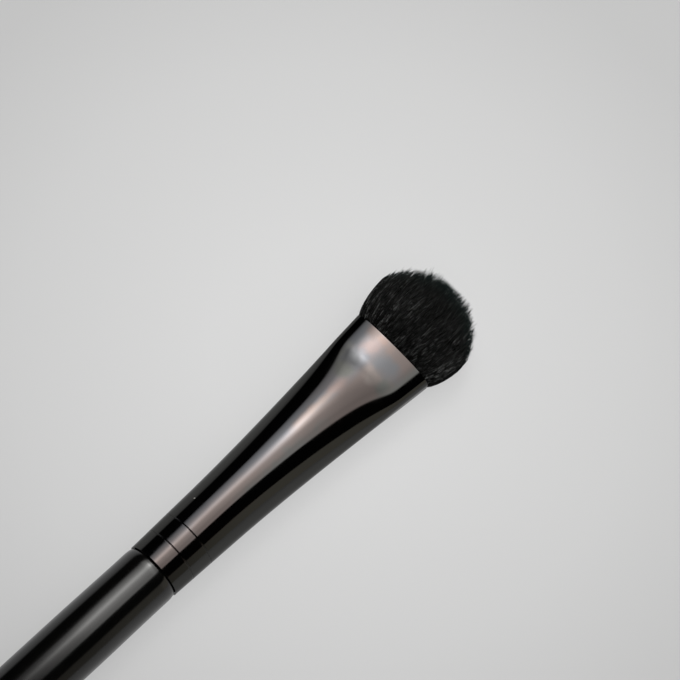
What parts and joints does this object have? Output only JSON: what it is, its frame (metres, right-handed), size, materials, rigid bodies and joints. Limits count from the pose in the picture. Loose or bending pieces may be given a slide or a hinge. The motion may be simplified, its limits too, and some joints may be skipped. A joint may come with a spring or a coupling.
{
  "type": "eyeshadow brush",
  "caption": "Slim cosmetic brush: lacquered tapered handle, crimped metal ferrule pressed flat at its mouth, and a short domed flat tuft of dark hair.",
  "frame": {"origin": "on the surface that the brush lies on, below the middle of its length", "axes": "+X along the brush's axis towards the hair, +Z out of its broad flat face, +Y across its width"},
  "size_m": [0.1657, 0.0156, 0.0086],
  "materials": {
    "lacquered_wood": "gloss",
    "plated_brass": "polished",
    "hair": "satin",
    "thread": "matte",
    "cured_resin": "gloss",
    "cured_glue": "satin"
  },
  "bodies": {
    "root": {"handle": "lacquered_wood", "ferrule": "plated_brass", "hair_tuft": "hair", "binding_thread": "thread", "root_resin": "cured_resin", "tenon_glue": "cured_glue"}
  },
  "joints": []
}
